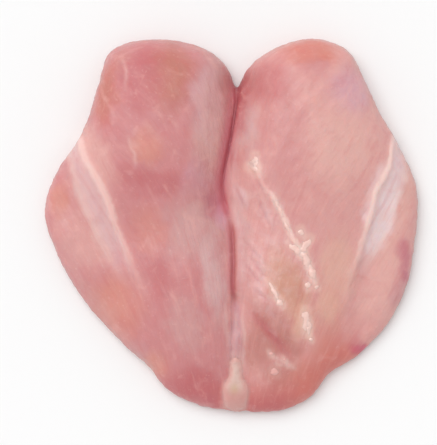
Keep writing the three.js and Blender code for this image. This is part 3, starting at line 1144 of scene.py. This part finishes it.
@dataclass
class Fillets:
    """The meat: two fillets joined at the keel, with a flap on each flank."""

    plan: Plan
    cell: float = 0.86 * MM
    smoothing: int = 12
    join: float = 0.4 * MM  # how far the tab is grown so that the meat closes round it
    cleft: Cleft = Cleft()
    spoon: Spoon = Spoon()
    fascias: tuple[Fascia, Fascia] = (
        Fascia(
            ((-81, 50), (-79.4, 41.5), (-74.8, 32), (-69.9, 23.2), (-65.8, 14.8), (-62, 4.1),
             (-57.6, -4.8), (-54, -14.5), (-51.3, -22.5), (-47.6, -30.5), (-45, -41), (-43, -53)),
            height=0.5, reach=11.0, silver=0.5, width=1.5, white=0.62,
        ),
        Fascia(
            ((85.5, 50), (84.2, 38.8), (83, 30.8), (80.4, 25.5), (76.4, 19.2), (74, 9.5), (71.3, -0.4),
             (68.6, -9.3), (65.5, -19.2), (62.4, -26.2), (60, -40), (57, -54)),
            height=0.45, reach=10.0, silver=0.8, width=1.0, white=1.0,
        ),
    )
    fold: Places = (  # the fatty edge of the film, down the right fillet, painted pale partly as a highlight along it
        (11, 37), (12.6, 30), (17.2, 20.4), (21.6, 15), (24.6, 9.8), (28.2, 3), (30.6, -3),
        (34.6, -10.6), (38.9, -17.6), (42.2, -26.7), (45, -33),
    )
    # between the right fillet's low end and the thin tissue round the tab
    crease: Places = ((7.5, -43), (12, -46.5), (18, -53), (24, -60), (29, -66), (34, -71.5))
    wrinkles: tuple[Places, ...] = (  # in the film, between the cleft and the fold
        ((1.5, 22), (4.2, 15), (7.4, 7)),
        ((6, -7), (12.5, -14.5), (19, -22.5)),
        ((5.6, -19), (11, -25), (16.5, -31.5)),
        ((8.5, -14), (14.5, -22), (20, -29)),
        ((10.5, -32), (16, -36.5), (22.5, -40)),
        ((13, 16), (17.5, 6), (22, -4)),
    )
    threads: tuple[Places, ...] = (  # fine pale lines
        ((-2.2, -34), (-2.6, -43), (-2.9, -51), (-1.6, -62)),
        ((5.5, -46), (6.3, -52), (7.2, -60), (5.6, -71)),
        ((2, -44), (2.3, -50), (2.5, -54)),
        ((-54.6, 46.5), (-52.5, 41.3), (-50.4, 36.6), (-49.9, 30.3)),
        ((-58.9, 88), (-55.7, 83.8), (-54.7, 79.1), (-55.7, 72)),
        ((38, -42), (39.2, -48), (40.4, -58)),
    )
    web: tuple[Places, ...] = (  # net of pale lines low on the right fillet
        ((19.2, -65.2), (20.9, -67.8), (22.6, -69.6), (25, -71.2)),
        ((22.6, -69.2), (26, -71), (29.4, -72.8), (31.6, -75.4)),
        ((25.8, -68.2), (28.4, -70.4), (30.4, -73.6)),
        ((30.4, -72), (32.4, -73.4), (34.6, -75.8)),
        ((22.4, -71.4), (25, -73.4), (28, -73.6)),
    )
    film_at: tuple[float, float] = (22, -16)  # middle of the film over the fold, in percent
    film_radii: tuple[float, float] = (24, 58)
    under_film: tuple[float, ...] = (0.93, 0.975, 0.97, 1.0)  # makes up for what the film's sheen adds

    def build(self) -> bpy.types.Object:
        """Builds the meat, sculpts it and paints it."""
        meat = merged_copy("double_breast")
        tab = merged_copy("keel_cartilage", self.join)
        self.piece = fine_skin("fillets", (meat, tab), self.cell, self.smoothing)
        self._sculpt()
        self._paint()
        return self.piece

    def _fibre(self, points: np.ndarray) -> np.ndarray:
        """How points lie to the muscle's grain, which fans out from the keel.

        Args:
            points: the skin's points in mm, one row to a point.

        Returns:
            For each, mm across the grain, along it and above the floor.
        """
        x, y, z = points.T
        half = self.plan.half_width
        lean = np.radians(8 + 22 * np.clip(np.abs(x) / (0.6 * half), 0, 1)) * np.where(x < 0, 1, -1)
        across = x * np.cos(lean) + y * np.sin(lean)
        return np.column_stack((across, y * np.cos(lean) - x * np.sin(lean), z))

    def _sculpt(self) -> None:
        """Presses the fine forms into the skin."""
        mesh = self.piece.data
        points, normals = points_of(mesh)
        top = smooth(0.05, 0.45, normals[:, 2])
        flat = (points[:, 2] < 0.5) & (normals[:, 2] < -0.8)
        rise = self.cleft.close(self.plan, points, top)
        rise += self._lines(points, top) + self._lumps(points, normals, top)
        tab = self.spoon.edge(points, self.plan.half_width)
        rise -= 1.6 * smooth(1.6, 0.9, tab) * smooth(0.1, 0.7, -normals[:, 1])
        points += normals * rise[:, None]
        self.cleft.fill(self.plan, points, top)
        points[flat, 2] = np.clip(0.9 * grain(points[flat], 17, 9.0), 0, 0.8)
        move_points(mesh, points)
        self.cleft.soften(self.plan, mesh, points, flat)

    def _lines(self, points: np.ndarray, top: np.ndarray) -> np.ndarray:
        """The relief of the cords, the fold, the crease, the web and the wrinkles.

        Args:
            points: the skin's points in mm.
            top: how far each point faces up, from 0 to 1.

        Returns:
            How far each point rises, in mm.
        """
        rise = np.zeros(len(points))
        for fascia in self.fascias:
            rise += top * fascia.relief(fascia.near(self.plan, points))
        fold = self.plan.near(self.fold, points)
        over = fold.across + 1.1 * grain(points, 3.0, 4.0)
        ends = smooth(0.0, 0.08, fold.along) * smooth(1.0, 0.94, fold.along)
        rise += ends * top * ridges(over, (0.4, 0.0, 1.1), (-0.35, -1.9, 1.3))
        crease = self.plan.near(self.crease, points)
        rise += arch(crease.along) * top * ridges(crease.across, (0.8, 5.0, 3.5), (-1.1, 0.0, 1.9))
        for route in self.web:
            near = self.plan.near(route, points)
            rise += 0.3 * arch(near.along) * bell(near.across, 1.0)
        for route in self.wrinkles:
            near = self.plan.near(route, points)
            rise += arch(near.along) * top * ridges(near.across, (0.3, 1.6, 1.1), (-0.32, 0.0, 1.0))
        return rise

    def _lumps(self, points: np.ndarray, normals: np.ndarray, top: np.ndarray) -> np.ndarray:
        """The relief of the muscle's lumps and bundles.

        Args:
            points: the skin's points in mm.
            normals: its unit normals.
            top: how far each point faces up, from 0 to 1.

        Returns:
            How far each point rises, in mm.
        """
        lumps = 0.45 * grain(points, 13, 1.0) + 0.14 * grain(points, 4.5, 2.0)
        bundles = 0.14 * grain(self._fibre(points), (3.2, 45, 6), 3.0)
        sides = 0.3 * grain(points, 3.2, 7.0) * smooth(0.5, 0.1, np.abs(normals[:, 2]))
        return lumps * (0.35 + 0.65 * top) + bundles * top + sides - 0.1

    def _paint(self) -> None:
        """Stores on the skin what its material reads."""
        mesh = self.piece.data
        points, normals = points_of(mesh)
        warp = np.column_stack([3.2 * grain(points, 11, seed, 3) for seed in (11.0, 12.0)])
        places = (points[:, :2] + warp) / self.plan.half_width * 100
        loose = points + np.pad(0.35 * warp, ((0, 0), (0, 1)))
        top = smooth(-0.1, 0.3, normals[:, 2])
        gap = self.plan.near(self.cleft.route, points)

        tint = Tint.plain(Tone.ROSE, len(points))
        tint.lay(smooth(-5, 9, places[:, 0]), Tone.PINK)
        for patch in PATCHES:
            tint.lay(patch.share(places), patch.tone)
        # painted shade: darkens the steep sides, which turn away from the light
        tint.lay(0.6 * smooth(0.65, 0.05, np.abs(normals[:, 2])), Tone.SHADED_SIDE)
        self._paint_cords(tint, loose, top, points[:, 0] < 0)
        self._paint_lines(tint, loose, top)
        self._paint_beside(tint, points, top)
        self.cleft.paint(tint, gap)
        edge = self.spoon.edge(points, self.plan.half_width)
        tint.lay(0.85 * smooth(1.25, 0.85, edge) * smooth(2.5, 7.0, points[:, 2]), Tone.GRISTLE)

        carry(mesh, "tint", tint.colours * self.under_film)
        carry(mesh, "fibre", self._fibre(points))
        self.cleft.store(mesh, gap)
        fold = self.plan.near(self.fold, points)
        carry(mesh, "fold", fold.across)
        carry(mesh, "fold_strength", smooth(0.05, 0.35, fold.along) * smooth(1.0, 0.9, fold.along) * top)
        inside = smooth(1.0, 0.55, np.hypot(*((places - self.film_at) / self.film_radii).T))
        wet = inside * smooth(2.0, -1.0, fold.across) * smooth(0.5, 3.5, gap.across)
        carry(mesh, "wet", np.maximum(wet, 0.8 * bell(fold.across, 4.0)) * top * (points[:, 0] > 0))

    def _paint_cords(self, tint: Tint, points: np.ndarray, top: np.ndarray, left: np.ndarray) -> None:
        """Lays the silver skin beside the cords and stores where the cords lie.

        Args:
            tint: the skin's tint, changed in place.
            points: the skin's points in mm, a little out of place so that edges wander.
            top: how far each point faces up, from 0 to 1.
            left: which of them are on the left fillet.
        """
        cords = []
        for fascia in self.fascias:
            cord = fascia.near(self.plan, points)
            fascia.paint(tint, cord, top)
            cords.append(fascia.shown(cord))
        for name, pair in zip(("fascia", "fascia_strength"), zip(*cords)):
            carry(self.piece.data, name, np.where(left, *pair))

    def _paint_lines(self, tint: Tint, points: np.ndarray, top: np.ndarray) -> None:
        """Lays the wrinkles, with painted light on their ridges and painted shade in their grooves, the
        streaks, and the threads and web of pale tissue.

        Args:
            tint: the skin's tint, changed in place.
            points: the skin's points in mm, a little out of place so that lines wander.
            top: how far each point faces up, from 0 to 1.
        """
        for route in self.wrinkles:
            near = self.plan.near(route, points)
            ends = arch(near.along) * top
            # painted light along each wrinkle's ridge, and painted shade in its groove
            tint.lay(0.32 * ends * bell(near.across - 1.6, 1.1), Tone.SILVER)
            tint.lay(0.25 * ends * bell(near.across, 0.9), Tone.MAUVE)
        for streak in STREAKS:
            near = self.plan.near(streak.route, points)
            tint.lay(streak.strength * bell(near.across, streak.reach), streak.tone)
        for routes, strength in ((self.threads, 0.3), (self.web, 0.34)):
            for route in routes:
                near = self.plan.near(route, points)
                ends = arch(near.along, 0.03) ** 0.5
                tint.lay(strength * ends * bell(near.across, 0.9) * top, Tone.CREAM)

    def _paint_beside(self, tint: Tint, points: np.ndarray, top: np.ndarray) -> None:
        """Lays the pale meat round the scraps that lie on it, which round the fold's fat is partly the
        painted glow of its highlights, and the red of the crease.

        Args:
            tint: the skin's tint, changed in place.
            points: the skin's points in mm.
            top: how far each point faces up, from 0 to 1.
        """
        # round the fold's fat this pale tone is partly painted highlight
        for share, strands in ((0.5, FOLD_FAT_AND_GLINTS), (0.18, MEMBRANE)):
            for strand in strands:
                near = self.plan.near(strand.route, points, steps=3)
                far = np.abs(near.across) - 0.5 * strand.width
                tint.lay(share * smooth(1.7, -0.4, far) * top, Tone.HALO)
        crease = self.plan.near(self.crease, points)
        tint.lay(0.7 * arch(crease.along) * bell(crease.across + 0.3, 2.2), Tone.RED)


# ---- cartilage, fat and membrane ----------------------------------------------------------------


@dataclass
class KeelTab:
    """The spoon-shaped tab of cartilage at the caudal end: a thin lens that follows the meat's skin."""

    plan: Plan
    meat: bpy.types.Object
    proud: float = 0.55  # mm that its middle stands above the meat
    thick: float = 2.4  # mm
    foot: float = 5.0  # mm above the floor, where it ends
    marrow_at: tuple[float, float] = (-0.6, 87)  # middle of its tan core: mm off the axis, percent down
    spoon: Spoon = Spoon()

    def build(self) -> bpy.types.Object:
        """Builds the tab."""
        bm = bmesh.new()
        bm.from_mesh(self.meat.data)
        edges = self._edge(bm)
        far = [vert for vert, edge in zip(bm.verts, edges) if edge > 1.3 or vert.normal.z < -0.1]
        bmesh.ops.delete(bm, geom=far, context="VERTS")
        bmesh.ops.subdivide_edges(bm, edges=bm.edges, cuts=1, use_grid_fill=True, smooth=1.0)
        bm.normal_update()
        edges = self._edge(bm)
        lumps = 0.12 * grain(self._points(bm), 2.6, 22.0)
        rises = self.proud * (1 - edges**2.5) + lumps * smooth(1.0, 0.6, edges) - 0.1
        for vert, rise in zip(bm.verts, np.maximum(rises, -0.8)):
            vert.co += vert.normal * float(rise) * MM
        bmesh.ops.solidify(bm, geom=bm.faces, thickness=self.thick * MM)
        bmesh.ops.recalc_face_normals(bm, faces=bm.faces)
        mesh = as_mesh(bm, "keel_tab")
        self._paint(mesh)
        return placed("keel_tab", mesh)

    def _paint(self, mesh: bpy.types.Mesh) -> None:
        """Stores what its material reads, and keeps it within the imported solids' box.

        Args:
            mesh: the tab's mesh.
        """
        points, _ = points_of(mesh)
        off, down = self.spoon.off(points, self.plan.half_width)
        marrow = np.hypot(off - self.marrow_at[0], 0.6 * (down - self.marrow_at[1]))
        carry(mesh, "edge", self.spoon.edge(points, self.plan.half_width))
        carry(mesh, "marrow", bell(marrow, 2.1))
        carry(mesh, "low", smooth(82, 93, down))
        carry(mesh, "tip", smooth(76, 69, down))
        move_points(mesh, points)

    def _points(self, bm: bmesh.types.BMesh) -> np.ndarray:
        """A bmesh's points in mm."""
        return np.array([vert.co[:] for vert in bm.verts]) / MM

    def _edge(self, bm: bmesh.types.BMesh) -> np.ndarray:
        """How a bmesh's points lie to the tab, with its foot as a part of its edge.

        Args:
            bm: the bmesh.

        Returns:
            A number to each point, from 0 in the tab's middle to 1 at its edge and more beyond.
        """
        points = self._points(bm)
        below = np.maximum(0, self.foot + 3 - points[:, 2])
        return self.spoon.edge(points, self.plan.half_width) + below / 4


@dataclass
class Strands:
    """Strands of one tissue as one mesh, each half sunk in the meat below it."""

    name: str
    plan: Plan
    meat: BVHTree
    strands: tuple[Strand, ...]
    around: int = 16
    ring_mm: float = 0.4  # length of a strand to each of its rings
    fewest_rings: int = 12
    sink: float = 0.18  # mm that its middle line lies below the meat's surface
    above: float = 0.2  # metres above the floor, from where the meat's surface is looked for

    def build(self) -> bpy.types.Object:
        """Builds every strand and joins them."""
        whole = bmesh.new()
        self.out = whole.verts.layers.float.new("out")
        for number, strand in enumerate(self.strands):
            self._lay(whole, strand, number)
        bmesh.ops.recalc_face_normals(whole, faces=whole.faces)
        return placed(self.name, as_mesh(whole, self.name))

    def _lay(self, bm: bmesh.types.BMesh, strand: Strand, number: int) -> None:
        """Bends a sphere along a strand's route and lays it on the meat.

        Args:
            bm: the bmesh that the strand is added to.
            strand: the strand.
            number: which one it is, so that each wavers in its own way.
        """
        line = self.plan.curve(strand.route)
        length = float(np.linalg.norm(np.diff(line, axis=0), axis=1).sum())
        rings = max(self.fewest_rings, int(length / self.ring_mm))
        made = bmesh.ops.create_uvsphere(bm, u_segments=self.around, v_segments=rings, radius=1.0)
        for vert in made["verts"]:
            x, y, z = vert.co
            share = 0.5 - math.asin(max(-1.0, min(1.0, z))) / math.pi
            taper = max(math.hypot(x, y), 1e-6) ** -0.25
            place = share * (len(line) - 1)
            i = min(int(place), len(line) - 2)
            step = line[i + 1] - line[i]
            ahead = step / np.linalg.norm(step)
            middle = line[i] + step * (place - i)
            down = share * length
            flank = math.copysign(5, x)
            wobble = 1 + 0.45 * noise.noise(Vector((down * 0.5, number * 9.1, 3.3)))
            wobble += 0.35 * noise.noise(Vector((down * 1.2, number * 4.7 + flank, 1.2)))
            drift = 0.35 * strand.width * noise.noise(Vector((down * 0.3, number * 5.3, 8.8)))
            side = x * taper * wobble * strand.width / 2 + drift
            spot = middle + np.array((ahead[1], -ahead[0])) * side
            lift = y * taper * wobble * (strand.height + self.sink) - self.sink
            vert[self.out] = abs(x) * taper
            vert.co = Vector((spot[0], spot[1], self._ground(spot) + lift)) * MM

    def _ground(self, spot: np.ndarray) -> float:
        """Finds the meat's surface.

        Args:
            spot: a place's x and y in mm.

        Returns:
            The surface's height there in mm.
        """
        start = Vector((spot[0] * MM, spot[1] * MM, self.above))
        hit = self.meat.ray_cast(start, Vector((0, 0, -1)))[0]
        return hit.z / MM if hit else 0.0


# ---- studio -------------------------------------------------------------------------------------


@dataclass
class Studio:
    """A pale floor, soft light and a camera that looks straight down."""

    half_width: float  # of the breast, in metres
    frame_px: tuple[int, int] = (437, 445)
    outline_px: float = 187.7  # the breast's half width in the frame
    middle_px: tuple[float, float] = (231.2, 225.95)  # of its outline
    camera_height: float = 1.0
    rim_height: float = 0.007  # where the outline is widest
    sensor_mm: float = 36.0
    key_from: tuple[float, float, float] = (-0.45, 0.55, 1.2)  # the way that the key light comes from
    key_spread: float = 50.0  # degrees
    key_power: float = 1.6
    sky_low: tuple[float, float] = (0.1, 0.99)  # height in the sky, as a share, and its strength there
    sky_high: tuple[float, float] = (0.6, 0.6)
    floor_size: float = 12.0
    floor_white: float = 0.9

    def build(self) -> None:
        """Makes the camera, the lights, the sky and the floor."""
        self._camera()
        self._sky()
        self._key()
        self._floor()

    def _camera(self) -> None:
        """Places the camera so that the outline falls where it does in the frame."""
        metres_per_px = self.half_width / self.outline_px
        far = self.camera_height - self.rim_height
        data = bpy.data.cameras.new("camera")
        data.lens = self.sensor_mm * far / (max(self.frame_px) * metres_per_px)
        data.sensor_width = self.sensor_mm
        camera = placed("camera", data)
        camera.location = (
            (self.frame_px[0] / 2 - self.middle_px[0]) * metres_per_px,
            (self.middle_px[1] - self.frame_px[1] / 2) * metres_per_px,
            self.camera_height,
        )
        bpy.context.scene.camera = camera

    def _sky(self) -> None:
        """A white sky that is dimmer overhead than at the horizon."""
        world = bpy.data.worlds.new("sky")
        world.use_nodes = True
        tree = world.node_tree
        back = tree.nodes["Background"]
        back.inputs["Color"].default_value = (1.0, 1.0, 1.0, 1.0)
        where = tree.nodes.new("ShaderNodeTexCoord")
        split = tree.nodes.new("ShaderNodeSeparateXYZ")
        fade = tree.nodes.new("ShaderNodeMapRange")
        for end, (height, strength) in (("Min", self.sky_low), ("Max", self.sky_high)):
            fade.inputs["From " + end].default_value = height
            fade.inputs["To " + end].default_value = strength
        tree.links.new(where.outputs["Generated"], split.inputs[0])
        tree.links.new(split.outputs["Z"], fade.inputs["Value"])
        tree.links.new(fade.outputs[0], back.inputs["Strength"])
        bpy.context.scene.world = world
        bpy.context.scene.view_settings.view_transform = "Standard"

    def _key(self) -> None:
        """A wide, soft, far-off lamp that shines towards the breast."""
        data = bpy.data.lights.new("key", "SUN")
        data.angle = math.radians(self.key_spread)
        data.energy = self.key_power
        lamp = placed("key", data)
        lamp.rotation_euler = (-Vector(self.key_from)).to_track_quat("-Z", "Y").to_euler()

    def _floor(self) -> None:
        """A wide pale floor."""
        bm = bmesh.new()
        bmesh.ops.create_grid(bm, x_segments=1, y_segments=1, size=self.floor_size / 2)
        mesh = as_mesh(bm, "floor")
        white = (self.floor_white,) * 3 + (1.0,)
        mesh.materials.append(Shader("pale_floor").finish({"Base Color": white, "Roughness": 0.8}))
        floor = placed("floor", mesh)
        floor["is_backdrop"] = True


# ---- putting it together ------------------------------------------------------------------------


def dress(piece: bpy.types.Object, material: bpy.types.Material) -> None:
    """Gives a piece its material, and lets it ride on the breast.

    Args:
        piece: the piece.
        material: what it looks like.
    """
    piece.data.materials.clear()
    piece.data.materials.append(material)
    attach(piece, "root")
    LOG.info("%s: %d faces", piece.name, len(piece.data.polygons))


def main() -> None:
    """Builds the breast and its studio."""
    logging.basicConfig(level=logging.INFO, format="%(name)s: %(message)s")
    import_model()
    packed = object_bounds()
    half_width = (packed[1].x - packed[0].x) / 2
    Studio(half_width).build()

    plan = Plan(half_width / MM)
    fillets = Fillets(plan).build()
    tab = KeelTab(plan, fillets).build()
    meat = BVHTree.FromObject(fillets, bpy.context.evaluated_depsgraph_get())
    fat = Strands("fold_fat", plan, meat, FOLD_FAT_AND_GLINTS).build()
    threads = Strands("membrane_threads", plan, meat, MEMBRANE).build()

    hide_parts("double_breast")
    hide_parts("keel_cartilage")
    dress(fillets, MoistMeat().material())
    dress(tab, Gristle().material())
    # the fold's fat, whose pale crown is partly a painted highlight
    dress(fat, WetFat("wet_fat_and_glints", Tone.FAT_AND_GLINT, Tone.FAT_RIM).material())
    dress(threads, WetFat("wet_membrane", Tone.SCRAP, Tone.SCRAP_RIM).material())


if __name__ == "__main__":
    main()
